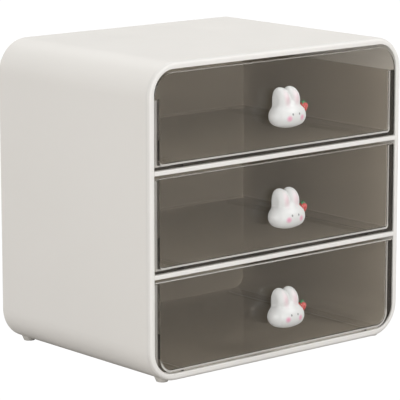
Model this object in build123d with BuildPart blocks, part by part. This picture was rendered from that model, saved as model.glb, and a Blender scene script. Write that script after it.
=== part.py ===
from build123d import *
import os
from math import sqrt, copysign

# Desktop organizer with three clear drawers, each with a rabbit-head knob.
# Millimetres. X to the right, Y to the rear, Z up.
# The origin lies on the table, in the middle of the whole footprint, knobs included.

os.makedirs("parts", exist_ok=True)

# White case
case_width = 214.5
case_depth = 153.5
corner_radius = 21.5
opening_radius = 15.5
wall = 4.4
bay_height = 61.8
shelf_thickness = 2.9
rim_rounding = 2.4
mouth_rounding = 0.4
rear_rounding = 1.4

# Shelves slide into grooves from behind and stop short of the rim
groove_depth = 1.6
groove_stop = 6.0
groove_play = 0.15
shelf_edge_rounding = 0.5

# Back panel, seated in a rebate round the rear
back_thickness = 3.0
back_lap = 2.2
back_play = 0.15
back_edge_rounding = 0.6

# Feet, pressed into the underside by a peg
foot_stand = 1.0
foot_tip_radius = 3.6
foot_flare = 0.45
foot_inset_x = 16.3
foot_inset_y = 7.8
peg_radius = 1.5
peg_length = 2.4
peg_clearance = 0.05
peg_end_gap = 0.3

# Clear drawers: a front panel, an open box behind it and two skids below
panel_thickness = 2.3
panel_inset = 0.5
panel_side_gap = 0.5
panel_lift = 0.5
panel_top_gap = 2.0
panel_edge_rounding = 0.5
panel_small_corner = 0.9
flange = 3.4
box_wall = 1.6
box_floor = 1.6
box_raise = 2.4
box_raise_bottom = 1.2
box_rear_gap = 3.0
box_corner = 2.4
box_round_corner = 9.5
box_rear_rounding = 1.5
box_inner_corner = 0.8
wall_drop = 1.0
wall_drop_top = 16.0
skid_width = 2.2
skid_inset = 19.5
skid_rear_setback = 6.0

# Knob: a rounded head and two upright ears, flat where they sit on the panel
# A turn is the tight radius at an oval's narrow end
knob_rise = 16.9
head_half_width = 13.5
head_below = 7.9
head_above = 8.4
head_turn = 7.8
head_depth = 16.6
head_front_rounding = 7.4
head_back_rounding = 6.0
ear_top = 26.0
ear_width = 8.8
ear_spread = 4.1
ear_depth = 13.0
ear_back_turn = 4.3
ear_side_rounding = 4.0

# Strawberry charm with its leaves, on the right of each knob
berry_radius = 3.1
berry_below = 4.3
berry_above = 2.4
berry_tip_turn = 1.6
berry_shoulder_turn = 1.4
berry_flat = 1.2
berry_x = 12.4
berry_forward = 9.0
berry_rise = 14.1
leaf_count = 5
leaf_reach = 2.7
leaf_width = 1.5
leaf_thickness = 0.6
stalk_radius = 0.45
stalk_height = 1.3

# Screw and washer that hold each knob from inside the drawer
screw_radius = 1.5
screw_length = 10.0
screw_head_radius = 2.8
screw_head_height = 1.8
screw_head_rounding = 0.7
recess_length = 3.0
recess_width = 0.7
recess_depth = 1.0
washer_radius = 3.5
washer_thickness = 0.5
bore_clearance = 0.05
washer_clearance = 0.1
panel_hole_clearance = 0.2
bore_end_gap = 1.0

# Case sizes that follow
bay_count = 3
case_height = 2 * wall + bay_count * bay_height + (bay_count - 1) * shelf_thickness
opening_width = case_width - 2 * wall
opening_height = case_height - 2 * wall
case_bottom_z = foot_stand
case_mid_z = case_bottom_z + case_height / 2
first_floor_z = case_bottom_z + wall
bay_step = bay_height + shelf_thickness
bay_floors = [first_floor_z + level * bay_step for level in range(bay_count)]
shelf_undersides = [floor_z - shelf_thickness for floor_z in bay_floors[1:]]

# Depths: the footprint runs from the front of the knobs to the back of the case
overall_depth = head_depth - panel_inset + case_depth
rear_y = overall_depth / 2
front_y = rear_y - case_depth
back_inner_y = rear_y - back_thickness
panel_front_y = front_y + panel_inset
panel_rear_y = panel_front_y + panel_thickness
box_rear_y = back_inner_y - box_rear_gap
berry_y = panel_front_y - berry_forward

# Drawer sizes that follow
panel_width = opening_width - 2 * panel_side_gap
panel_round_corner = opening_radius - panel_side_gap
box_width = panel_width - 2 * flange
box_length = box_rear_y - panel_rear_y
skid_x = box_width / 2 - skid_inset

# Foot places, and how high the rounded underside is there
foot_x = case_width / 2 - foot_inset_x
foot_front_y = front_y + foot_inset_y
foot_rear_y = rear_y - foot_inset_y
foot_places = {
    "front_left": (-foot_x, foot_front_y),
    "front_right": (foot_x, foot_front_y),
    "rear_left": (-foot_x, foot_rear_y),
    "rear_right": (foot_x, foot_rear_y),
}
into_corner = max(0.0, corner_radius - foot_inset_x)
underside_z = case_bottom_z + corner_radius - sqrt(corner_radius**2 - into_corner**2)
peg_top_z = underside_z + peg_length


def upright(y):
    """The upright plane at depth y, facing the front: extruding goes forwards."""
    return Plane.XZ.offset(-y)


def finish(piece, name):
    """Names a piece and writes it."""
    piece.part.label = name
    export_step(piece.part, f"parts/{name}.step")


def oval_quarter(middle, reach, rise, turn):
    """Two tangent arcs, from an oval's flank to its top, or to its bottom if rise is negative.

    The arc at the oval's narrow end has the radius turn, and the other follows from it.
    A negative reach gives the left flank.
    """
    wide, tall = abs(reach), abs(rise)
    sideways, upwards = copysign(1, reach), copysign(1, rise)
    longer, shorter = max(wide, tall), min(wide, tall)
    flat_radius = ((longer - turn) ** 2 + shorter**2 - turn**2) / (2 * (shorter - turn))
    if wide > tall:
        turn_centre, flat_centre = Vector(wide - turn, 0), Vector(0, tall - flat_radius)
    else:
        turn_centre, flat_centre = Vector(0, tall - turn), Vector(wide - flat_radius, 0)
    meeting = turn_centre + (turn_centre - flat_centre).normalized() * turn
    meeting_point = (middle[0] + sideways * meeting.X, middle[1] + upwards * meeting.Y)
    TangentArc((middle[0] + reach, middle[1]), meeting_point, tangent=(0, upwards))
    TangentArc((middle[0], middle[1] + rise), meeting_point, tangent=(sideways, 0))


# Case shell: a rounded sleeve with a soft rim
with BuildPart() as case_shell:
    with BuildSketch(upright(front_y)):
        with Locations((0, case_mid_z)):
            RectangleRounded(case_width, case_height, corner_radius)
            RectangleRounded(opening_width, opening_height, opening_radius, mode=Mode.SUBTRACT)
    extrude(amount=-case_depth)
    fillet(case_shell.faces().sort_by(Axis.Y)[0].outer_wire().edges(), rim_rounding)
    fillet(case_shell.faces().sort_by(Axis.Y)[0].inner_wires()[0].edges(), mouth_rounding)
    fillet(case_shell.faces().sort_by(Axis.Y)[-1].outer_wire().edges(), rear_rounding)

    # Rebate for the back panel
    with BuildSketch(upright(rear_y)):
        with Locations((0, case_mid_z)):
            RectangleRounded(
                opening_width + 2 * back_lap,
                opening_height + 2 * back_lap,
                opening_radius + back_lap,
            )
    extrude(amount=back_thickness, mode=Mode.SUBTRACT)

    # Grooves for the shelves
    groove_front_y = front_y + groove_stop
    for underside in shelf_undersides:
        with BuildSketch(Plane.XY.offset(underside)):
            with Locations((0, (groove_front_y + rear_y) / 2)):
                Rectangle(opening_width + 2 * groove_depth, rear_y - groove_front_y)
        extrude(amount=shelf_thickness + groove_play, mode=Mode.SUBTRACT)

    # Blind holes for the pegs of the feet
    with BuildSketch(Plane.XY.offset(case_bottom_z)):
        with Locations(*foot_places.values()):
            Circle(peg_radius + peg_clearance)
    extrude(amount=peg_top_z + peg_end_gap - case_bottom_z, mode=Mode.SUBTRACT)
finish(case_shell, "case_shell")


# Back panel
with BuildPart() as back_panel:
    with BuildSketch(upright(rear_y)):
        with Locations((0, case_mid_z)):
            RectangleRounded(
                opening_width + 2 * (back_lap - back_play),
                opening_height + 2 * (back_lap - back_play),
                opening_radius + back_lap - back_play,
            )
    extrude(amount=back_thickness)
    fillet(back_panel.faces().sort_by(Axis.Y)[-1].edges(), back_edge_rounding)
finish(back_panel, "back_panel")


def make_shelf(underside):
    """A flat shelf, as wide as the opening at the rim and tongued into the grooves behind."""
    tongue_width = opening_width + 2 * (groove_depth - groove_play)
    tongue_front_y = front_y + groove_stop + groove_play
    with BuildPart() as shelf:
        with BuildSketch(Plane.XY.offset(underside)):
            with Locations((0, (front_y + back_inner_y) / 2)):
                Rectangle(opening_width, back_inner_y - front_y)
            with Locations((0, (tongue_front_y + back_inner_y) / 2)):
                Rectangle(tongue_width, back_inner_y - tongue_front_y)
        extrude(amount=shelf_thickness)
        front_edges = shelf.faces().sort_by(Axis.Y)[0].edges().filter_by(Axis.X)
        fillet(front_edges, shelf_edge_rounding)
    return shelf


finish(make_shelf(shelf_undersides[0]), "shelf_lower")
finish(make_shelf(shelf_undersides[1]), "shelf_upper")


def make_foot(place):
    """A small flared foot, shaped on top to the rounded underside, with a peg."""
    flare_height = foot_stand + corner_radius / 3
    with BuildPart() as foot:
        with BuildSketch(Plane.XY):
            with Locations(place):
                Circle(foot_tip_radius)
        with BuildSketch(Plane.XY.offset(flare_height)):
            with Locations(place):
                Circle(foot_tip_radius + foot_flare * flare_height)
        loft()
        with BuildSketch(upright(front_y - foot_inset_y)):
            with Locations((0, case_mid_z)):
                RectangleRounded(case_width, case_height, corner_radius)
        extrude(amount=-(case_depth + 2 * foot_inset_y), mode=Mode.SUBTRACT)
        with BuildSketch(Plane.XY.offset(foot_stand / 2)):
            with Locations(place):
                Circle(peg_radius)
        extrude(amount=peg_top_z - foot_stand / 2)
    return foot


for corner, place in foot_places.items():
    finish(make_foot(place), f"foot_{corner}")


def make_drawer(floor_z, upper_corner, lower_corner, box_lower_corner, raised, drop):
    """One clear moulding.

    raised is how high its box stands above the bay's floor, and drop is how far the walls
    stay below the top of the panel.
    """
    panel_low = floor_z + panel_lift
    panel_high = floor_z + bay_height - panel_top_gap
    box_low = floor_z + raised
    wall_top = panel_high - drop
    with BuildPart() as drawer:
        # Front panel
        with BuildSketch(upright(panel_front_y)) as outline:
            with Locations((0, (panel_low + panel_high) / 2)):
                Rectangle(panel_width, panel_high - panel_low)
            fillet(outline.vertices().group_by(Axis.Y)[-1], upper_corner)
            fillet(outline.vertices().group_by(Axis.Y)[0], lower_corner)
        extrude(amount=-panel_thickness)
        fillet(drawer.faces().sort_by(Axis.Y)[0].edges(), panel_edge_rounding)

        # Box, solid at first
        with BuildSketch(upright(panel_rear_y)) as section:
            with Locations((0, (box_low + wall_top) / 2)):
                Rectangle(box_width, wall_top - box_low)
            fillet(section.vertices().group_by(Axis.Y)[0], box_lower_corner)
        extrude(amount=-box_length)
        rear_edges = drawer.faces().sort_by(Axis.Y)[-1].edges().sort_by(Axis.Z)[:-1]
        fillet(rear_edges, box_rear_rounding)

        # Hollow of the box
        with BuildSketch(upright(panel_rear_y)) as hollow:
            with Locations((0, (box_low + box_floor + wall_top) / 2)):
                Rectangle(box_width - 2 * box_wall, wall_top - box_low - box_floor)
            fillet(
                hollow.vertices().group_by(Axis.Y)[0],
                max(box_lower_corner - box_wall, box_inner_corner),
            )
        extrude(amount=-(box_length - box_wall), mode=Mode.SUBTRACT)

        # Skids that slide on the shelf below
        skid_rear_y = box_rear_y - skid_rear_setback
        with BuildSketch(Plane.XY.offset(floor_z)):
            with Locations(
                (-skid_x, (panel_rear_y + skid_rear_y) / 2),
                (skid_x, (panel_rear_y + skid_rear_y) / 2),
            ):
                Rectangle(skid_width, skid_rear_y - panel_rear_y)
        extrude(amount=raised + box_floor / 2)

        # Hole for the knob's screw
        with BuildSketch(upright(panel_front_y)):
            with Locations((0, floor_z + knob_rise + head_below)):
                Circle(screw_radius + panel_hole_clearance)
        extrude(amount=-panel_thickness, mode=Mode.SUBTRACT)
    return drawer


def make_ear(ear_x, base_z):
    """One ear, highest at the back and curving down to the front, rounded on both sides."""
    ear_front_y = panel_front_y - ear_depth
    crown_radius = ear_depth - ear_back_turn
    with BuildPart() as ear:
        with BuildSketch(Plane.YZ.offset(ear_x - ear_width / 2)):
            with BuildLine():
                root = Line((ear_front_y, base_z + head_below), (panel_front_y, base_z + head_below))
                back = Line(root @ 1, (panel_front_y, base_z + ear_top - ear_back_turn))
                top = (panel_front_y - ear_back_turn, base_z + ear_top)
                TangentArc(back @ 1, top, tangent=(0, 1))
                crown = TangentArc(top, (ear_front_y, top[1] - crown_radius), tangent=(-1, 0))
                Line(crown @ 1, root @ 0)
            make_face()
        extrude(amount=ear_width)
        fillet(ear.faces().sort_by(Axis.X)[0].edges(), ear_side_rounding)
        fillet(ear.faces().sort_by(Axis.X)[-1].edges(), ear_side_rounding)
    return ear


def make_knob(base_z):
    """The rabbit's head with its ears, bored from behind for the screw."""
    middle = (0, base_z + head_below)
    ears = [make_ear(ear_x, base_z) for ear_x in (-ear_spread, ear_spread)]
    screw_reach = screw_length - washer_thickness - panel_thickness
    with BuildPart() as knob:
        with BuildSketch(upright(panel_front_y)):
            with BuildLine():
                for reach in (-head_half_width, head_half_width):
                    oval_quarter(middle, reach, head_above, head_turn)
                    oval_quarter(middle, reach, -head_below, head_turn)
            make_face()
        extrude(amount=head_depth)
        fillet(knob.faces().sort_by(Axis.Y)[0].edges(), head_front_rounding)
        fillet(knob.faces().sort_by(Axis.Y)[-1].edges(), head_back_rounding)
        add([ear.part for ear in ears])
        with BuildSketch(upright(panel_front_y)):
            with Locations(middle):
                Circle(screw_radius + bore_clearance)
        extrude(amount=screw_reach + bore_end_gap, mode=Mode.SUBTRACT)
    return knob


def make_strawberry(base_z, knob):
    """A small berry, flat on top for its leaves and shaped to the knob where it sits."""
    middle = (berry_x, base_z + berry_rise)
    with BuildPart() as berry:
        with BuildSketch(upright(berry_y)):
            with BuildLine():
                oval_quarter(middle, berry_radius, berry_above, berry_shoulder_turn)
                oval_quarter(middle, berry_radius, -berry_below, berry_tip_turn)
                Line((middle[0], middle[1] + berry_above), (middle[0], middle[1] - berry_below))
            make_face()
        revolve(axis=Axis((berry_x, berry_y, 0), (0, 0, 1)))
        split(bisect_by=Plane.XY.offset(middle[1] + berry_above - berry_flat / 2), keep=Keep.BOTTOM)
        add(knob.part, mode=Mode.SUBTRACT)
    return berry


def make_leaves(base_z, knob):
    """The berry's star of leaves with its stalk."""
    seat_z = base_z + berry_rise + berry_above - berry_flat / 2
    place = (berry_x, berry_y)
    with BuildPart() as leaves:
        with BuildSketch(Plane.XY.offset(seat_z)):
            with Locations(place):
                Circle(leaf_width / 2)
                with PolarLocations(leaf_reach / 2, leaf_count):
                    Ellipse(leaf_reach / 2, leaf_width / 2)
        extrude(amount=leaf_thickness)
        with BuildSketch(Plane.XY.offset(seat_z)):
            with Locations(place):
                Circle(stalk_radius)
        extrude(amount=leaf_thickness + stalk_height)
        add(knob.part, mode=Mode.SUBTRACT)
    return leaves


def make_washer(centre_z):
    """A flat washer on the inside of the panel."""
    with BuildPart() as washer:
        with BuildSketch(upright(panel_rear_y)):
            with Locations((0, centre_z)):
                Circle(washer_radius)
                Circle(screw_radius + washer_clearance, mode=Mode.SUBTRACT)
        extrude(amount=-washer_thickness)
    return washer


def make_screw(centre_z):
    """A pan-head screw with a cross recess, from inside the drawer into the knob."""
    seat_y = panel_rear_y + washer_thickness
    head_y = seat_y + screw_head_height
    with BuildPart() as screw:
        with BuildSketch(upright(seat_y)):
            with Locations((0, centre_z)):
                Circle(screw_head_radius)
        extrude(amount=-screw_head_height)
        fillet(screw.faces().sort_by(Axis.Y)[-1].edges(), screw_head_rounding)
        with BuildSketch(upright(seat_y)):
            with Locations((0, centre_z)):
                Circle(screw_radius)
        extrude(amount=screw_length)
        with BuildSketch(upright(head_y)):
            with Locations((0, centre_z)):
                Rectangle(recess_length, recess_width)
                Rectangle(recess_width, recess_length)
        extrude(amount=recess_depth, mode=Mode.SUBTRACT)
    return screw


# The three drawers differ where they meet the rounded corners of the case
small = panel_small_corner
drawer_top = make_drawer(
    bay_floors[2], panel_round_corner, small, box_corner, box_raise, wall_drop_top
)
drawer_middle = make_drawer(bay_floors[1], small, small, box_corner, box_raise, wall_drop)
drawer_bottom = make_drawer(
    bay_floors[0], small, panel_round_corner, box_round_corner, box_raise_bottom, wall_drop
)
finish(drawer_top, "drawer_top")
finish(drawer_middle, "drawer_middle")
finish(drawer_bottom, "drawer_bottom")

# Every drawer has the same knob set
for level, floor_z in zip(("bottom", "middle", "top"), bay_floors):
    knob_base_z = floor_z + knob_rise
    knob = make_knob(knob_base_z)
    finish(knob, f"rabbit_knob_{level}")
    finish(make_strawberry(knob_base_z, knob), f"strawberry_{level}")
    finish(make_leaves(knob_base_z, knob), f"strawberry_leaves_{level}")
    finish(make_washer(knob_base_z + head_below), f"knob_washer_{level}")
    finish(make_screw(knob_base_z + head_below), f"knob_screw_{level}")
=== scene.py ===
# %% [markdown]
# A small tabletop cabinet: a white rounded case with three smoky clear drawers.
# Each drawer is pulled by a white rabbit-head knob with a red berry beside its ear.
# The construction comes from the frame, at its real size and in metres.
# This file gives every surface its finish and models the knobs, the berries and their leaves.

from math import cos, pi, radians, tau

import bpy
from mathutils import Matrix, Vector


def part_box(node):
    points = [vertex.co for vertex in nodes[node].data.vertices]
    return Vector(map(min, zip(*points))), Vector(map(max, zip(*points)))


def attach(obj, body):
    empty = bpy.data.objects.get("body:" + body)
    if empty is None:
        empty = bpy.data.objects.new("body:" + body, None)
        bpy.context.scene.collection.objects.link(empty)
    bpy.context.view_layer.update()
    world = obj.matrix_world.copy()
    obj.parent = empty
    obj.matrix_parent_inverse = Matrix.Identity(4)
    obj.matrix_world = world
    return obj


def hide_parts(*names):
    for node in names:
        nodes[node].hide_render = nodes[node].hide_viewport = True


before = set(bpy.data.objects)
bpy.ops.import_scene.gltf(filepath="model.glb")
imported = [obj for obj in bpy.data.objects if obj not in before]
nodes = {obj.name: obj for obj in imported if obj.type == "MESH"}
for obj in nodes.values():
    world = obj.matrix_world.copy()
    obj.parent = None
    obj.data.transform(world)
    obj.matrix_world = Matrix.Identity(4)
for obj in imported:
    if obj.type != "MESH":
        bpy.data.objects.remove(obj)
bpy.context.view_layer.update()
levels = ("bottom", "middle", "top")
mm = 0.001


# %% [markdown]
# The picture was taken from the left and a little above, from far away with a long lens,
# so the sides of the case stay nearly parallel.
# The camera stands where lines drawn through the edges of the case meet the picture.

# %% Camera
front_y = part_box("case_shell")[0].y
camera_place = Vector((-1.0452, front_y - 1.14481, 0.4082))
camera_turn = radians(-40.527)
camera_dip = radians(11.09)
focal_length = 223.5

camera_data = bpy.data.cameras.new("camera")
camera_data.lens = focal_length
camera = bpy.data.objects.new("camera", camera_data)
bpy.context.scene.collection.objects.link(camera)
camera.location = camera_place
camera.rotation_euler = (pi / 2 - camera_dip, 0, camera_turn)
bpy.context.scene.camera = camera
print("camera at", [round(v, 3) for v in camera.location])


# %% [markdown]
# A product like this is photographed on a white sweep in a tent of soft light.
# The world is that tent. The lens alone sees a plain white wall in its place,
# so the backdrop can be white while the tent stays dim enough to leave soft shadows.

# %% The tent
tent_colour = (1, 0.99, 0.97)
tent_strength = 0.5

scene = bpy.context.scene
scene.view_settings.view_transform = "Standard"
scene.view_settings.look = "None"

tent = bpy.data.worlds.new("soft_tent")
tent.use_nodes = True
tent_nodes = tent.node_tree.nodes
tent_links = tent.node_tree.links
tent_nodes["Background"].inputs["Color"].default_value = (*tent_colour, 1)
tent_nodes["Background"].inputs["Strength"].default_value = tent_strength
white_wall = tent_nodes.new("ShaderNodeBackground")
tent_ray = tent_nodes.new("ShaderNodeLightPath")
tent_choice = tent_nodes.new("ShaderNodeMixShader")
tent_links.new(tent_ray.outputs["Is Camera Ray"], tent_choice.inputs[0])
tent_links.new(tent_nodes["Background"].outputs[0], tent_choice.inputs[1])
tent_links.new(white_wall.outputs[0], tent_choice.inputs[2])
tent_links.new(tent_choice.outputs[0], tent_nodes["World Output"].inputs["Surface"])
scene.world = tent
print("tent at strength", tent_strength)


# %% [markdown]
# Large square lamps give the soft light of a studio, and each has one task.
# The key lamp stands in front on the right, so the knobs are shaded on their left.
# A wide fill lamp at the height of the case brightens its left side, and a panel behind
# and above lights the top, so the round edge between them stays as calm as both.
# A low lamp in front lights the rim, which is also painted paler as a painted highlight, and reaches into
# the drawers.
# A small lamp high on the right catches the edges of the panels, and a thin painted highlight also runs
# along each panel's upper edge.

# %% Lamps
case_middle = Vector((0, 0, 0.1))


def soft_lamp(name, place, size, power):
    """A square lamp at place that points at the middle of the case. power is in watts."""
    lamp = bpy.data.lights.new(name, "AREA")
    lamp.size = size
    lamp.energy = power
    holder = bpy.data.objects.new(name, lamp)
    scene.collection.objects.link(holder)
    holder.location = place
    holder.rotation_euler = (case_middle - Vector(place)).to_track_quat("-Z", "Y").to_euler()
    print(name, power, "W")


soft_lamp("key_right", (0.9, -1.3, 1.2), size=0.9, power=10.5)
soft_lamp("left_fill", (-1.7, -0.3, 0.1), size=1.2, power=19.5)
soft_lamp("top_panel", (0.2, 0.45, 1.6), size=1.2, power=9.4)
soft_lamp("low_front", (-0.2, -1.7, 0.1), size=0.8, power=9.5)
soft_lamp("spark", (0.96, -0.35, 1.2), size=0.2, power=1.5)


# %% [markdown]
# A finish is a small network of nodes. One Principled shader stands for the plastic, rubber
# or metal, and textures drive its colour, its roughness and its bumps.
# These helpers make and join nodes, so that each finish further down reads like a recipe.

# %% Helpers for nodes
def new_material(name, colour, roughness):
    """A material with its Principled shader, set to its plain colour and roughness."""
    material = bpy.data.materials.new(name)
    material.use_nodes = True
    shader = material.node_tree.nodes["Principled BSDF"]
    shader.inputs["Base Color"].default_value = (*colour, 1)
    shader.inputs["Roughness"].default_value = roughness
    return material, shader


def add_node(material, kind, **settings):
    """A node of that kind, with its properties or inputs set by name."""
    node = material.node_tree.nodes.new(kind)
    for key, value in settings.items():
        if hasattr(node, key):
            setattr(node, key, value)
        else:
            node.inputs[key].default_value = value
    return node


def link(material, source, target):
    """Joins an output socket to an input socket."""
    material.node_tree.links.new(source, target)


def show_mix(material, share, first, second):
    """Gives the surface a mix of two shaders, all of the second where share is 1."""
    mix = add_node(material, "ShaderNodeMixShader")
    surface = material.node_tree.nodes["Material Output"].inputs["Surface"]
    for source, target in zip((share, first, second), mix.inputs):
        link(material, source, target)
    link(material, mix.outputs["Shader"], surface)


# %% [markdown]
# The floor is a wide sheet of white paper that glows for the lens alone.
# Real paper that bright would also shine into the clear drawers and fog them,
# so for every other ray it is a dim and quite ordinary grey paper.

# %% Floor
floor_size = 12
paper_glow = 1.05

bpy.ops.mesh.primitive_plane_add(size=floor_size, location=(0, 0, 0))
floor = bpy.context.object
floor.name = "floor"

paper, shader = new_material("paper_white", (0.38, 0.36, 0.34), 0.9)
glow = add_node(paper, "ShaderNodeEmission", Strength=paper_glow)
paper_ray = add_node(paper, "ShaderNodeLightPath")
show_mix(paper, paper_ray.outputs["Is Camera Ray"], shader.outputs["BSDF"], glow.outputs["Emission"])
floor.data.materials.append(paper)
print("floor", floor_size, "m wide")


# %% [markdown]
# Patterns read Object coordinates, which are metres from the origin of the frame,
# so a pattern keeps its real scale and stays put when a drawer slides.
# A shader can also do sums on those coordinates, and that is how a finish here
# finds a rim, a margin or a cheek without any picture to paint it with.

# %% Helpers for patterns
def object_place(material):
    """The Object coordinates."""
    return add_node(material, "ShaderNodeTexCoord").outputs["Object"]


def object_axes(material):
    """The Object coordinates as separate X, Y and Z."""
    split = add_node(material, "ShaderNodeSeparateXYZ")
    link(material, object_place(material), split.inputs[0])
    return split.outputs


def noise(material, scale, detail=2.0):
    """Cloudy noise from 0 to 1, with scale in spots per metre."""
    texture = add_node(material, "ShaderNodeTexNoise", Scale=scale, Detail=detail)
    link(material, object_place(material), texture.inputs["Vector"])
    return texture.outputs["Fac"]


def spread(material, value, low_in, high_in, low_out, high_out):
    """Maps value from one range to another, and holds it at the ends."""
    node = add_node(material, "ShaderNodeMapRange")
    node.inputs["From Min"].default_value = low_in
    node.inputs["From Max"].default_value = high_in
    node.inputs["To Min"].default_value = low_out
    node.inputs["To Max"].default_value = high_out
    link(material, value, node.inputs["Value"])
    return node.outputs["Result"]


def maths(material, operation, first, second=0.0):
    """One sum on sockets or plain numbers."""
    node = add_node(material, "ShaderNodeMath", operation=operation)
    for socket, value in zip(node.inputs, (first, second)):
        if isinstance(value, (int, float)):
            socket.default_value = value
        else:
            link(material, value, socket)
    return node.outputs[0]


def slant(material, first, second):
    """The long side of a right triangle. The two short sides are 0 or more."""
    squares = [maths(material, "POWER", side, 2) for side in (first, second)]
    return maths(material, "SQRT", maths(material, "ADD", *squares))


# %% [markdown]
# No plastic or metal has quite one colour or one shine. Both drift a little over the surface,
# and a fine grain keeps its highlights from looking like glass.

# %% Helpers for colour, sheen and grain
noise_low, noise_high = 0.3, 0.7


def blend_colour(material, factor, low, high):
    """A colour that runs from low to high as factor runs from 0 to 1.

    low may be a colour or the socket of one.
    """
    mix = add_node(material, "ShaderNodeMix", data_type="RGBA")
    if isinstance(low, tuple):
        mix.inputs[6].default_value = (*low, 1)
    else:
        link(material, low, mix.inputs[6])
    mix.inputs[7].default_value = (*high, 1)
    link(material, factor, mix.inputs[0])
    return mix.outputs[2]


def vary_colour(material, shader, factor, low, high):
    """Lets the shader's colour run from low to high."""
    link(material, blend_colour(material, factor, low, high), shader.inputs["Base Color"])


def vary_sheen(material, shader, pattern, low, high):
    """Lets the roughness run from low to high over the range that noise mostly keeps to."""
    roughness = spread(material, pattern, noise_low, noise_high, low, high)
    link(material, roughness, shader.inputs["Roughness"])


def add_grain(material, shader, scale, depth):
    """A fine bump over the whole surface. depth is in metres."""
    bump = add_node(material, "ShaderNodeBump", Strength=1.0, Distance=depth)
    link(material, noise(material, scale), bump.inputs["Height"])
    link(material, bump.outputs["Normal"], shader.inputs["Normal"])


def dress(material, *names):
    """Puts one material on these nodes."""
    for name in names:
        nodes[name].data.materials.clear()
        nodes[name].data.materials.append(material)
    print(material.name, "on", ", ".join(names))


# %% [markdown]
# The case is moulded in warm white plastic with a satin face.
# Up close such plastic has a very fine grain, and its sheen varies a little
# where the mould was polished by hand, so roughness and colour drift slowly.
# The flat rim at the front is painted a little paler than the rest, a painted highlight,
# and the bend behind it a touch greyer, a painted shade that keeps it from catching the light.
# Both follow from how far a point lies behind the front of the case.

# %% White case plastic
deep_white = (0.79, 0.77, 0.735)
pale_white = (0.82, 0.8, 0.77)
# painted_bend_shade is painted shade on the bend, and painted_rim_light a painted highlight on the flat
# rim.
painted_bend_shade = (0.72, 0.706, 0.68)
painted_rim_light = (0.87, 0.855, 0.83)
rim_fade = (0.2 * mm, 0.8 * mm)
bend_fade = (1.6 * mm, 3.4 * mm)

case_white, shader = new_material("white_case_plastic", (0.8, 0.78, 0.75), 0.46)
behind_rim = maths(case_white, "SUBTRACT", object_axes(case_white)["Y"], front_y)
in_bend = spread(case_white, behind_rim, *bend_fade, 1, 0)
on_rim = spread(case_white, behind_rim, *rim_fade, 1, 0)
moulded = blend_colour(case_white, noise(case_white, scale=9), deep_white, pale_white)
# From here moulded also holds the painted shade on the bend, and the next line adds the painted highlight
# on the rim.
moulded = blend_colour(case_white, in_bend, moulded, painted_bend_shade)
vary_colour(case_white, shader, on_rim, moulded, painted_rim_light)
vary_sheen(case_white, shader, noise(case_white, scale=35, detail=3), low=0.41, high=0.51)
add_grain(case_white, shader, scale=1400, depth=0.02 * mm)
dress(case_white, "case_shell", "shelf_lower", "shelf_upper", "back_panel")


# %% [markdown]
# A drawer's panel is wider than the box behind it. Where the panel stands out past the box,
# it looks into the dark slot round the drawer, and that margin is painted nearly black, a painted shade.
# Where the walls of the box meet the panel, a thin pale seam is painted on, a painted highlight.
# Both follow the outline of the box, which has rounded lower corners, so the shader works
# out how far each point of the panel lies past that outline.

# %% How far past the box
panel_low, panel_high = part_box("drawer_bottom")
panel_half = panel_high.x
panel_top = panel_high.z - panel_low.z
panel_thickness = 2.3 * mm
flange = 3.4 * mm
seam_inset = 0.6 * mm
print("panel", round(2 * panel_half / mm, 1), "by", round(panel_top / mm, 1), "mm")


def past_box(material, across, under, box_corner):
    """The distance outside the outline of the box, or below 0 inside it.

    across is the distance from the middle of the panel. under is how far a point lies
    below the height where the corner begins.
    """
    aside = maths(material, "SUBTRACT", across, panel_half - flange - seam_inset - box_corner)
    round_part = slant(material, *(maths(material, "MAXIMUM", way, 0.0) for way in (aside, under)))
    flat_part = maths(material, "MINIMUM", maths(material, "MAXIMUM", aside, under), 0.0)
    return maths(material, "SUBTRACT", maths(material, "ADD", round_part, flat_part), box_corner)


# %% [markdown]
# On the left of the case the fill lamp would shine straight into the slot beside each drawer.
# There the margin gets painted light at its rim and along the sill, and painted shade only
# in the narrow strip that the box itself would shade.

# %% The lit slot on the left
left_end = -90 * mm
shaded_from = 0.3 * mm
lit_from = 2.1 * mm


def left_slot(material, side, height, past, outside, sill_top, left_foot):
    """Three masks: the left end of the panel, its part with painted light and its part with painted shade.
    """
    on_left = maths(material, "LESS_THAN", side, left_end)
    on_left = maths(material, "MULTIPLY", on_left, maths(material, "GREATER_THAN", height, left_foot))
    sill = maths(material, "LESS_THAN", height, sill_top)
    lit = maths(material, "MAXIMUM", sill, maths(material, "GREATER_THAN", past, lit_from))
    lit = maths(material, "MULTIPLY", on_left, maths(material, "MULTIPLY", outside, lit))
    shaded = maths(material, "MULTIPLY", outside, maths(material, "GREATER_THAN", past, shaded_from))
    shaded = maths(material, "SUBTRACT", maths(material, "MULTIPLY", on_left, shaded), lit)
    return on_left, lit, shaded


# %% [markdown]
# The margin's painted shade and the seam's painted highlight are two masks, each from 0 to 1.
# They are made for one drawer at a time, because the boxes differ: the bottom one has larger
# corners below to clear those of the case, and the top one has lower walls.

# %% Margin and seam
seam_width = 1.2 * mm
seam_outside = -0.3 * mm
# seam_beside and seam_below are the strengths of the seam's painted highlight.
seam_beside = 0.35
seam_below = 0.6
seam_turn = 3 * mm
margin_fade = 2.5 * mm
# painted_left_shade is painted shade and painted_left_glow painted light, in the slot on the left.
painted_left_shade = 0.7
painted_left_glow = 0.3
edge_height = 0.4 * mm


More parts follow.
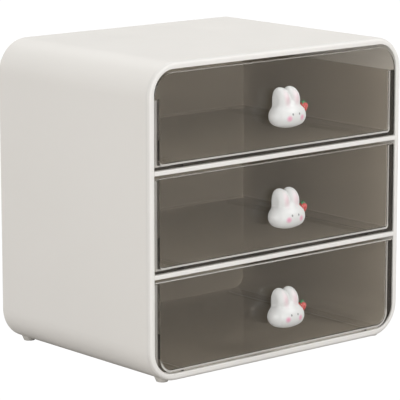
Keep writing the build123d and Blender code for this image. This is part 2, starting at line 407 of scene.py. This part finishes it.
def margin_and_seam(
    material, axes, height, on_panel, box_raise, wall_top, box_corner, fade, top_highlight, left_foot
):
    """How much painted shade the margin gets and how much painted highlight the seam, for smoky_plastic
    below.
    """
    across = maths(material, "ABSOLUTE", axes["X"])
    under = maths(material, "SUBTRACT", box_raise + box_corner, height)
    past = past_box(material, across, under, box_corner)
    here = maths(material, "MULTIPLY", on_panel, maths(material, "LESS_THAN", height, wall_top))
    outside = maths(material, "MULTIPLY", here, maths(material, "GREATER_THAN", past, seam_outside))
    on_left, lit, shaded = left_slot(
        material, axes["X"], height, past, outside, box_raise + seam_width, left_foot
    )
    off_left = maths(material, "SUBTRACT", 1.0, on_left)

    margin = maths(material, "MULTIPLY", outside, spread(material, across, fade - margin_fade, fade, 0, 1))
    margin = maths(material, "MULTIPLY", margin, off_left)
    margin = maths(material, "ADD", margin, maths(material, "MULTIPLY", shaded, painted_left_shade))

    reach = maths(material, "GREATER_THAN", past, seam_outside - seam_width)
    seam = maths(material, "SUBTRACT", maths(material, "MULTIPLY", here, reach), outside)
    strength = spread(material, under, -seam_turn, 0, seam_beside, seam_below)
    seam = maths(material, "MULTIPLY", seam, strength)
    round_corner = spread(material, under, 0, box_corner / 2, 0, 1)
    seam = maths(material, "MULTIPLY", seam, maths(material, "MAXIMUM", off_left, round_corner))
    seam = maths(material, "ADD", seam, maths(material, "MULTIPLY", lit, painted_left_glow))
    # A painted highlight along the panel's upper edge, as strong as top_highlight.
    edge = maths(material, "GREATER_THAN", height, panel_top - edge_height)
    return margin, maths(material, "MAXIMUM", seam, maths(material, "MULTIPLY", edge, top_highlight))


# %% [markdown]
# The drawers are clear plastic with a smoky brown tint, paler in the panel than in the box.
# Light goes through such a wall nearly straight, so the shader is glass for what the eye sees,
# and for shadows it is a tinted clear film, or the inside of the case would be black.
# Light that bounces about inside a wall is let out after a few turns for the same reason.

# %% Smoky clear plastic
panel_tint = (0.9, 0.875, 0.84)
box_tint = (0.72, 0.685, 0.64)
# painted_margin_shade is a painted shade, near black, and painted_seam_highlight a pale painted highlight.
painted_margin_shade = (0.12, 0.11, 0.1)
painted_seam_highlight = (0.8, 0.79, 0.77)
smoke_shadow = (0.93, 0.92, 0.9)
smoke_bend = 1.49
most_turns = 4.5
hair = 0.05 * mm


def smoky_plastic(level, **form):
    """The clear plastic of one drawer.

    form has box_raise, the height of the box above the foot of the panel, wall_top, the
    height of its walls, and box_corner, the radius below. fade is how far from the middle
    the margin gets its full painted shade, top_highlight how strong the painted highlight on the panel's
    upper edge is, and left_foot the height from which the slot on the left gets painted light.
    """
    material, shader = new_material(f"smoky_clear_{level}", box_tint, 0.02)
    shader.inputs["Transmission Weight"].default_value = 1.0
    shader.inputs["IOR"].default_value = smoke_bend

    drawer_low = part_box(f"drawer_{level}")[0]
    axes = object_axes(material)
    height = maths(material, "SUBTRACT", axes["Z"], drawer_low.z)
    on_panel = maths(material, "LESS_THAN", axes["Y"], drawer_low.y + panel_thickness + hair)
    margin, seam = margin_and_seam(material, axes, height, on_panel, **form)
    tinted = blend_colour(material, on_panel, box_tint, panel_tint)
    # The margin gets its painted shade and the seam its painted highlight, which also lets less light
    # through.
    tinted = blend_colour(material, margin, tinted, painted_margin_shade)
    vary_colour(material, shader, seam, tinted, painted_seam_highlight)
    link(material, spread(material, seam, 0, 1, 1, 0), shader.inputs["Transmission Weight"])

    film = add_node(material, "ShaderNodeBsdfTransparent", Color=(*smoke_shadow, 1))
    ray = add_node(material, "ShaderNodeLightPath")
    trapped = maths(material, "GREATER_THAN", ray.outputs["Ray Depth"], most_turns)
    let_out = maths(material, "MAXIMUM", ray.outputs["Is Shadow Ray"], trapped)
    show_mix(material, let_out, shader.outputs["BSDF"], film.outputs["BSDF"])
    return material


# %% [markdown]
# The top and middle boxes have nearly the same outline. The bottom one stands lower, and its
# margin gets painted shade only at the far ends, where its large corners leave the slot open.

# %% Dress the three drawers
# top_highlight sets the painted highlight on each panel's upper edge.
plain_form = {
    "box_raise": 2.4 * mm,
    "wall_top": 58.8 * mm,
    "box_corner": 2.4 * mm,
    "fade": 0,
    "top_highlight": 0.25,
    "left_foot": 2.4 * mm,
}
drawer_forms = {
    "top": {**plain_form, "wall_top": 43.8 * mm},
    "middle": plain_form,
    "bottom": {
        **plain_form,
        "box_raise": 1.2 * mm,
        "box_corner": 9.5 * mm,
        "fade": 92 * mm,
        "top_highlight": 0.6,
        "left_foot": 0,
    },
}
for level, form in drawer_forms.items():
    dress(smoky_plastic(level, **form), f"drawer_{level}")


# %% [markdown]
# The feet are a soft off-white rubber: dull, a little dusty and with an open grain.
# A coarse bump and a high, patchy roughness set it apart from the plastic above it.

# %% Foot rubber
foot_rubber, shader = new_material("foot_rubber", (0.6, 0.58, 0.55), 0.6)
rubber_dust = noise(foot_rubber, scale=260, detail=4)
vary_colour(foot_rubber, shader, rubber_dust, (0.56, 0.54, 0.5), (0.64, 0.62, 0.585))
vary_sheen(foot_rubber, shader, noise(foot_rubber, scale=420, detail=3), low=0.55, high=0.72)
add_grain(foot_rubber, shader, scale=2600, depth=0.06 * mm)
dress(foot_rubber, *[name for name in nodes if name.startswith("foot_")])


# %% [markdown]
# The screws are zinc-plated, with faint cloudy spots in their shine.
# The washers are punched from sheet that was brushed one way, so their grain is long and thin.
# A Mapping node stretches the noise along that way.

# %% Screw and washer steel
brush_scale = (160, 6000, 6000)

screw_zinc, shader = new_material("screw_zinc", (0.6, 0.6, 0.61), 0.22)
shader.inputs["Metallic"].default_value = 1.0
zinc_clouds = noise(screw_zinc, scale=700, detail=3)
vary_colour(screw_zinc, shader, zinc_clouds, (0.56, 0.57, 0.58), (0.67, 0.66, 0.64))
vary_sheen(screw_zinc, shader, noise(screw_zinc, scale=1300), low=0.16, high=0.3)
dress(screw_zinc, *[name for name in nodes if name.startswith("knob_screw")])

washer_steel, shader = new_material("washer_steel", (0.55, 0.55, 0.55), 0.36)
shader.inputs["Metallic"].default_value = 1.0
stretch = add_node(washer_steel, "ShaderNodeMapping", Scale=brush_scale)
link(washer_steel, object_place(washer_steel), stretch.inputs["Vector"])
brushing = add_node(washer_steel, "ShaderNodeTexNoise", Scale=1.0, Detail=3.0)
link(washer_steel, stretch.outputs["Vector"], brushing.inputs["Vector"])
brush_lines = brushing.outputs["Fac"]
vary_colour(washer_steel, shader, brush_lines, (0.47, 0.47, 0.47), (0.62, 0.615, 0.61))
vary_sheen(washer_steel, shader, brush_lines, low=0.28, high=0.45)
dress(washer_steel, *[name for name in nodes if name.startswith("knob_washer")])


# %% [markdown]
# A knob is one small casting: a bean-shaped rabbit's head with two broad ears that run
# down to its front, all of it cut flat behind where it sits on the drawer.
# Such a soft form is easiest to build from rounded lumps that are joined, wrapped in one
# new skin of small faces and then relaxed, so the ears flow into the head.
# Only the bottom knob is modelled. The others are copies of it, higher up.

# %% Where the knob sits
knob_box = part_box("rabbit_knob_bottom")
seat_y = knob_box[1].y
knob_z = knob_box[0].z
level_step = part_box("rabbit_knob_middle")[0].z - knob_z
print("knob from", round(knob_z / mm, 1), "mm up, next level", round(level_step / mm, 1), "mm higher")


# %% [markdown]
# An operator acts on all that is selected, so every step starts from a clean selection.
# Points and faces are then picked by where they are, as a hand would click them.

# %% Helpers for modelling
same_place = 0.01 * mm


def start_piece():
    """Leaves nothing selected, so that the next steps touch only the new primitive."""
    if bpy.context.object and bpy.context.object.mode != "OBJECT":
        bpy.ops.object.mode_set(mode="OBJECT")
    bpy.ops.object.select_all(action="DESELECT")


def select_only(*pieces):
    """Selects these pieces and makes the last one active."""
    start_piece()
    for piece in pieces:
        piece.select_set(True)
    bpy.context.view_layer.objects.active = pieces[-1]


def settle():
    """Moves the place, turn and scale of the selected objects into their meshes."""
    bpy.ops.object.transform_apply(location=True, rotation=True, scale=True)


def pick(piece, kind, wanted):
    """Edit mode, with only the points or faces selected that pass wanted."""
    bpy.ops.object.mode_set(mode="EDIT")
    bpy.ops.mesh.select_mode(type=kind)
    bpy.ops.mesh.select_all(action="DESELECT")
    bpy.ops.object.mode_set(mode="OBJECT")
    for item in piece.data.vertices if kind == "VERT" else piece.data.polygons:
        item.select = wanted(item)
    bpy.ops.object.mode_set(mode="EDIT")


def apply_modifier(piece, kind, **settings):
    """Adds a modifier, sets it and applies it."""
    modifier = piece.modifiers.new(kind.lower(), kind)
    for key, value in settings.items():
        setattr(modifier, key, value)
    bpy.ops.object.modifier_apply(modifier=modifier.name)


def measure(label, piece):
    """Prints the size of a piece and its number of triangles."""
    triangles = sum(len(face.vertices) - 2 for face in piece.data.polygons)
    print(label, [round(v / mm, 1) for v in piece.dimensions], "mm,", triangles, "triangles")


# %% [markdown]
# The head is wider than it is high and fuller than a ball, and it is flatter below than above.
# A Cast modifier swells a sphere a little towards a box, and scaling in edit mode does the rest.

# %% The head
head_half = Vector((13.4, 9.1, 7.6)) * mm
head_upper = 8.5 * mm
head_middle = Vector((0, seat_y - 7.1 * mm, knob_z + 7.9 * mm))


def add_lump(half, middle, segments, rings, fullness=0.0):
    """A ball with these half sizes. fullness swells it towards a box."""
    start_piece()
    bpy.ops.mesh.primitive_uv_sphere_add(
        segments=segments, ring_count=rings, radius=half.x, location=middle
    )
    ball = bpy.context.object
    if fullness:
        apply_modifier(ball, "CAST", cast_type="CUBOID", factor=fullness)
    settle()
    bpy.ops.object.mode_set(mode="EDIT")
    bpy.ops.transform.resize(value=(1, half.y / half.x, half.z / half.x), center_override=middle)
    bpy.ops.object.mode_set(mode="OBJECT")
    return ball


rabbit = add_lump(head_half, head_middle, segments=48, rings=32, fullness=0.12)
rabbit.name = "rabbit_head_bottom"
pick(rabbit, "VERT", lambda point: point.co.z > head_middle.z)
bpy.ops.transform.resize(value=(1, 1, head_upper / head_half.z), center_override=head_middle)
bpy.ops.object.mode_set(mode="OBJECT")
measure("head", rabbit)


# %% [markdown]
# An ear is a thick rounded blade. It leans on the panel behind and runs down to the forehead
# in front, so a disc that lies on its side has the right outline.
# Its back half is pressed flat and its lower half drawn down into the head.

# %% The ears
ear_x = 4.05 * mm
ear_width = 8.8 * mm
ear_top = knob_z + 26.2 * mm
ear_front_y = seat_y - 12.4 * mm
ear_peak_y = seat_y - 4.0 * mm
ear_back_y = seat_y - 0.6 * mm
ear_radius = ear_peak_y - ear_front_y
ear_foot_z = knob_z + 6 * mm
ear_rounding = 3.9 * mm

ears = []
for side in (-1, 1):
    start_piece()
    ear_middle = Vector((side * ear_x, ear_peak_y, ear_top - ear_radius))
    bpy.ops.mesh.primitive_cylinder_add(
        vertices=48, radius=ear_radius, depth=ear_width, location=ear_middle, rotation=(0, pi / 2, 0)
    )
    ear = bpy.context.object
    settle()
    apply_modifier(ear, "BEVEL", width=ear_rounding, segments=8, limit_method="ANGLE")
    pick(ear, "VERT", lambda point: point.co.y > ear_peak_y)
    back_share = (ear_back_y - ear_peak_y) / ear_radius
    bpy.ops.transform.resize(value=(1, back_share, 1), center_override=ear_middle)
    pick(ear, "VERT", lambda point: point.co.z < ear_middle.z)
    foot_share = (ear_middle.z - ear_foot_z) / ear_radius
    bpy.ops.transform.resize(value=(1, 1, foot_share), center_override=ear_middle)
    bpy.ops.object.mode_set(mode="OBJECT")
    ears.append(ear)
measure("one ear", ears[0])


# %% [markdown]
# A low brow fills the step where the ears come down to the forehead.
# Without it the skin would sink there and the ears would look stuck on.

# %% The brow
brow_half = Vector((7.2, 5.0, 4.7)) * mm
brow_middle = Vector((0, seat_y - 8.3 * mm, knob_z + 14.0 * mm))

brow = add_lump(brow_half, brow_middle, segments=32, rings=24)
measure("brow", brow)


# %% [markdown]
# Voxel remeshing wraps the four lumps in one closed skin, and smoothing rounds the creases
# between them. The back is then cut flat, a hair in front of the panel.
# The cut needs a fine tolerance. With a coarse one it takes points that lie near it
# for points on it, and leaves small holes.

# %% One skin over head, brow and ears
skin_size = 0.38 * mm
skin_pull = 0.5
skin_rounds = 50
knob_gap = 0.04 * mm
cut_tolerance = 0.0001 * mm

select_only(*ears, brow, rabbit)
bpy.ops.object.join()
apply_modifier(rabbit, "REMESH", mode="VOXEL", voxel_size=skin_size)
apply_modifier(rabbit, "SMOOTH", factor=skin_pull, iterations=skin_rounds)
bpy.ops.object.mode_set(mode="EDIT")
bpy.ops.mesh.select_all(action="SELECT")
bpy.ops.mesh.bisect(
    plane_co=(0, seat_y - knob_gap, 0),
    plane_no=(0, 1, 0),
    use_fill=True,
    clear_outer=True,
    threshold=cut_tolerance,
)
bpy.ops.object.mode_set(mode="OBJECT")
measure("rabbit head", rabbit)


# %% [markdown]
# A screw from inside the drawer holds the knob, so the head has a blind bore from behind.
# A cylinder of the bore's size, a little longer than the screw reaches, is taken away from it.

# %% The bore for the screw
screw_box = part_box("knob_screw_bottom")
bore_middle = (screw_box[0] + screw_box[1]) / 2
bore_radius = 1.55 * mm
bore_room = 1.0 * mm
bore_end_y = screw_box[0].y - bore_room
bore_open_y = seat_y + bore_room
crease_angle = radians(40)

start_piece()
bpy.ops.mesh.primitive_cylinder_add(
    vertices=32,
    radius=bore_radius,
    depth=bore_open_y - bore_end_y,
    location=(bore_middle.x, (bore_open_y + bore_end_y) / 2, bore_middle.z),
    rotation=(pi / 2, 0, 0),
)
drill = bpy.context.object
settle()
select_only(rabbit)
apply_modifier(rabbit, "BOOLEAN", operation="DIFFERENCE", object=drill, solver="EXACT")
bpy.data.objects.remove(drill)
bpy.ops.object.shade_smooth_by_angle(angle=crease_angle)
measure("rabbit head with its bore", rabbit)


# %% [markdown]
# The berry is a small moulded strawberry: round shoulders, a narrow tip
# and rows of seeds that sit in dimples.
# It starts as a sphere whose rings are drawn in towards the tip.

# %% The berry
berry_place = Vector((12.1 * mm, seat_y - 9.0 * mm, knob_z + 13.4 * mm))
berry_radius = 2.9 * mm
berry_top = 2.5 * mm
berry_tip = 4.5 * mm
berry_columns = 20
berry_rings = 9
berry_girth = 1.04
berry_taper = 0.2

start_piece()
bpy.ops.mesh.primitive_uv_sphere_add(
    segments=berry_columns, ring_count=berry_rings, radius=berry_radius, location=berry_place
)
berry = bpy.context.object
berry.name = "berry_bottom"
settle()
for ring in range(1, berry_rings):
    ring_z = berry_place.z + berry_radius * cos(pi * ring / berry_rings)
    below = max(0.0, (berry_place.z - ring_z) / berry_radius)
    draw_in = berry_girth - berry_taper * below**2
    pick(berry, "VERT", lambda point: abs(point.co.z - ring_z) < same_place)
    bpy.ops.transform.resize(value=(draw_in, draw_in, 1), center_override=berry_place)
pick(berry, "VERT", lambda point: point.co.z > berry_place.z)
bpy.ops.transform.resize(value=(1, 1, berry_top / berry_radius), center_override=berry_place)
pick(berry, "VERT", lambda point: point.co.z < berry_place.z)
bpy.ops.transform.resize(value=(1, 1, berry_tip / berry_radius), center_override=berry_place)
bpy.ops.object.mode_set(mode="OBJECT")
measure("berry", berry)


# %% [markdown]
# The berry is glossy red, and its seeds are a pale cream like the dots on a real one.
# Both colours are cloudy, as thin paint is.

# %% Berry red and seed cream
berry_red, shader = new_material("berry_red", (0.57, 0.07, 0.07), 0.32)
red_clouds = noise(berry_red, scale=500)
vary_colour(berry_red, shader, red_clouds, (0.52, 0.055, 0.055), (0.64, 0.1, 0.095))

seed_cream, shader = new_material("seed_cream", (0.91, 0.74, 0.62), 0.4)
cream_clouds = noise(seed_cream, scale=900)
vary_colour(seed_cream, shader, cream_clouds, (0.88, 0.68, 0.56), (0.94, 0.8, 0.68))

for finish in (berry_red, seed_cream):
    berry.data.materials.append(finish)
    print(finish.name, "on the berry")


# %% [markdown]
# Every second face of the berry is set in twice, once down for the dimple and once up
# for the seed, and takes the seeds' colour. The faces round the stalk and the tip stay bare.
# Two rounds of subdivision then soften it all, so the faces to pick can stay few and large.

# %% Its seeds
bare_rings = 2
dimple_rim, dimple_depth = 0.08 * mm, 0.12 * mm
seed_rim, seed_height = 0.04 * mm, 0.14 * mm
soft_rounds = 2


def is_seed(face):
    """Every second face of a ring, staggered from ring to ring."""
    from_top = (berry_place.z + berry_top - face.center.z) / (berry_top + berry_tip)
    ring = int(from_top * berry_rings)
    turn = (face.center - berry_place).to_2d().angle_signed(Vector((1, 0)), 0) % tau
    column = int(turn / tau * berry_columns)
    return bare_rings <= ring <= berry_rings - bare_rings and (column + ring) % 2 == 0


pick(berry, "FACE", is_seed)
bpy.ops.mesh.inset(thickness=dimple_rim, depth=-dimple_depth, use_individual=True)
bpy.ops.mesh.inset(thickness=seed_rim, depth=seed_height, use_individual=True)
berry.active_material_index = berry.data.materials.find(seed_cream.name)
bpy.ops.object.material_slot_assign()
bpy.ops.object.mode_set(mode="OBJECT")
apply_modifier(berry, "SUBSURF", levels=soft_rounds, render_levels=soft_rounds)
bpy.ops.object.shade_smooth()
measure("berry with its seeds", berry)


# %% [markdown]
# The leaves are a star of five small blades that arch over the berry's shoulders.
# One blade starts as a flat grid of length 1. Its rows are drawn to a point and lowered
# towards the tip, it is scaled to its real size, and its middle is raised for the rib.

# %% One blade
leaf_sink = 0.25 * mm
leaf_seat = berry_place + Vector((0, 0, berry_top - leaf_sink))
blade_length = 2.6 * mm
blade_width = 1.7 * mm
blade_rows = 6
row_widths = (0.45, 0.85, 1.0, 0.85, 0.5, 0.1)
row_heights = (0.25 * mm, 0.35 * mm, 0.25 * mm, -0.05 * mm, -0.5 * mm, -1.0 * mm)
same_row = 0.01
rib_height = 0.14 * mm

start_piece()
bpy.ops.mesh.primitive_grid_add(
    x_subdivisions=blade_rows - 1, y_subdivisions=2, size=1, location=(0.5, 0, 0)
)
leaves = bpy.context.object
leaves.name = "berry_leaves_bottom"
settle()
for row in range(blade_rows):
    row_x = row / (blade_rows - 1)
    pick(leaves, "VERT", lambda point: abs(point.co.x - row_x) < same_row)
    bpy.ops.transform.resize(value=(1, row_widths[row], 1), center_override=(row_x, 0, 0))
    bpy.ops.transform.translate(value=(0, 0, row_heights[row] / blade_length))
bpy.ops.mesh.select_all(action="SELECT")
bpy.ops.transform.resize(value=(blade_length, blade_width, blade_length), center_override=(0, 0, 0))
pick(leaves, "VERT", lambda point: abs(point.co.y) < same_place)
bpy.ops.transform.translate(value=(0, 0, rib_height))
bpy.ops.mesh.select_all(action="SELECT")
bpy.ops.transform.translate(value=leaf_seat)
bpy.ops.object.mode_set(mode="OBJECT")
blade_points = len(leaves.data.vertices)
print("one blade", blade_points, "points")


# %% [markdown]
# The other blades are turned copies of the first, each a little longer or shorter,
# because no two leaves of a real berry are the same. A Solidify modifier thickens them all.

# %% Five blades
blade_shares = (1.0, 0.86, 1.05, 0.92, 0.98)
blade_thickness = 0.3 * mm

for blade in range(1, len(blade_shares)):
    share = blade_shares[blade]
    pick(leaves, "VERT", lambda point: point.index < blade_points)
    bpy.ops.mesh.duplicate()
    bpy.ops.transform.resize(value=(share, share, 1), center_override=leaf_seat)
    bpy.ops.transform.rotate(
        value=tau * blade / len(blade_shares), orient_axis="Z", center_override=leaf_seat
    )
bpy.ops.object.mode_set(mode="OBJECT")
apply_modifier(leaves, "SOLIDIFY", thickness=blade_thickness, offset=0)
measure("leaves", leaves)


# %% [markdown]
# A short stalk stands in the middle of the star and leans a little.
# Its top is drawn up twice, each time further aside, and joined to the leaves.

# %% The stalk
stalk_radius = 0.42 * mm
stalk_length = 1.0 * mm
stalk_lift = Vector((0, 0, 0.3 * mm))
stalk_bends = ((0.12 * mm, 0.4 * mm), (0.25 * mm, 0.35 * mm))
stalk_rim = 0.12 * mm
facing_up = 0.9

start_piece()
bpy.ops.mesh.primitive_cylinder_add(
    vertices=12, radius=stalk_radius, depth=stalk_length, location=leaf_seat + stalk_lift
)
stalk = bpy.context.object
settle()
pick(stalk, "FACE", lambda face: face.normal.z > facing_up)
for lean, rise in stalk_bends:
    bpy.ops.mesh.extrude_region_move(TRANSFORM_OT_translate={"value": (lean, -lean, rise)})
bpy.ops.mesh.inset(thickness=stalk_rim)
bpy.ops.object.mode_set(mode="OBJECT")

select_only(stalk, leaves)
bpy.ops.object.join()
apply_modifier(leaves, "SUBSURF", levels=soft_rounds, render_levels=soft_rounds)
bpy.ops.object.shade_smooth()
measure("leaves with the stalk", leaves)


# %% [markdown]
# Leaves and stalk are moulded in one dark green, a little less glossy than the berry.
# Small clouds of a paler green keep the thin blades from looking like cut paper.

# %% Leaf green
leaf_green, shader = new_material("leaf_green", (0.08, 0.26, 0.12), 0.42)
green_clouds = noise(leaf_green, scale=700)
vary_colour(leaf_green, shader, green_clouds, (0.05, 0.2, 0.09), (0.12, 0.34, 0.16))
leaves.data.materials.append(leaf_green)
print(leaf_green.name, "on the leaves")


# %% [markdown]
# The knob's white is glossier and cooler than the case, and its face is painted on:
# two tiny grey eyes, sprayed pink cheeks and a soft pink inside each ear.
# Paint is placed by distance from the knob's middle and height above its foot.
# Height repeats from drawer to drawer, so one material serves the three knobs.

# %% Where the paint goes
knob_white, shader = new_material("knob_white", (0.78, 0.785, 0.775), 0.3)
face_begins = seat_y - 3 * mm
face_full = seat_y - 6 * mm

axes = object_axes(knob_white)
across = maths(knob_white, "ABSOLUTE", axes["X"])
height = maths(knob_white, "MODULO", maths(knob_white, "SUBTRACT", axes["Z"], knob_z), level_step)
facing = spread(knob_white, axes["Y"], face_begins, face_full, 0, 1)
print("paint from", round((seat_y - face_begins) / mm, 1), "mm in front of the panel")


def paint(base, colour, strength, side, rise, half_width, half_height, softness):
    """The base colour with an oval of paint on each half of the face."""
    sideways = maths(knob_white, "DIVIDE", maths(knob_white, "SUBTRACT", across, side), half_width)
    upwards = maths(knob_white, "DIVIDE", maths(knob_white, "SUBTRACT", height, rise), half_height)
    away = slant(knob_white, *(maths(knob_white, "ABSOLUTE", way) for way in (sideways, upwards)))
    oval = spread(knob_white, away, 1 + softness, 1 - softness, 0, 1)
    cover = maths(knob_white, "MULTIPLY", maths(knob_white, "MULTIPLY", oval, facing), strength)
    return blend_colour(knob_white, cover, base, colour)


# %% [markdown]
# Three paints go on one after the other, the widest and softest first.
# Each is a pair of ovals, and its softness says how far the spray spreads past its edge.

# %% Knob white with its painted face
paints = {
    "ear_pink": {
        "colour": (0.85, 0.5, 0.58),
        "strength": 0.46,
        "side": 4.0 * mm,
        "rise": 19.4 * mm,
        "half_width": 1.7 * mm,
        "half_height": 3.4 * mm,
        "softness": 0.8,
    },
    "cheek_pink": {
        "colour": (0.85, 0.3, 0.48),
        "strength": 0.75,
        "side": 5.2 * mm,
        "rise": 7.4 * mm,
        "half_width": 1.5 * mm,
        "half_height": 1.5 * mm,
        "softness": 0.6,
    },
    "eye_grey": {
        "colour": (0.12, 0.12, 0.13),
        "strength": 0.75,
        "side": 2.7 * mm,
        "rise": 10.0 * mm,
        "half_width": 0.6 * mm,
        "half_height": 0.7 * mm,
        "softness": 0.3,
    },
}
white_clouds = noise(knob_white, scale=120)
coloured = blend_colour(knob_white, white_clouds, (0.76, 0.765, 0.755), (0.8, 0.805, 0.795))
for spot in paints.values():
    coloured = paint(coloured, **spot)
link(knob_white, coloured, shader.inputs["Base Color"])
add_grain(knob_white, shader, scale=900, depth=0.02 * mm)
rabbit.data.materials.append(knob_white)
print("painted", ", ".join(paints))


# %% [markdown]
# The three drawers have the same knob, so the finished head, berry and leaves
# are copied up by one and by two levels, and each set rides on its own drawer.

# %% One set for each drawer
knob_set = {
    "rabbit_head": (rabbit, "rabbit_knob", "knob_white"),
    "berry": (berry, "strawberry", "strawberry_red"),
    "berry_leaves": (leaves, "strawberry_leaves", "leaf_green"),
}
for step, level in enumerate(levels):
    for name, (model, node, finish_slot) in knob_set.items():
        piece = model
        if step > 0:
            select_only(model)
            bpy.ops.object.duplicate(linked=False)
            piece = bpy.context.object
            piece.name = f"{name}_{level}"
            bpy.ops.transform.translate(value=(0, 0, step * level_step))
            settle()
        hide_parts(f"{node}_{level}")
        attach(piece, f"{level}_drawer")
print("knob sets on", levels)
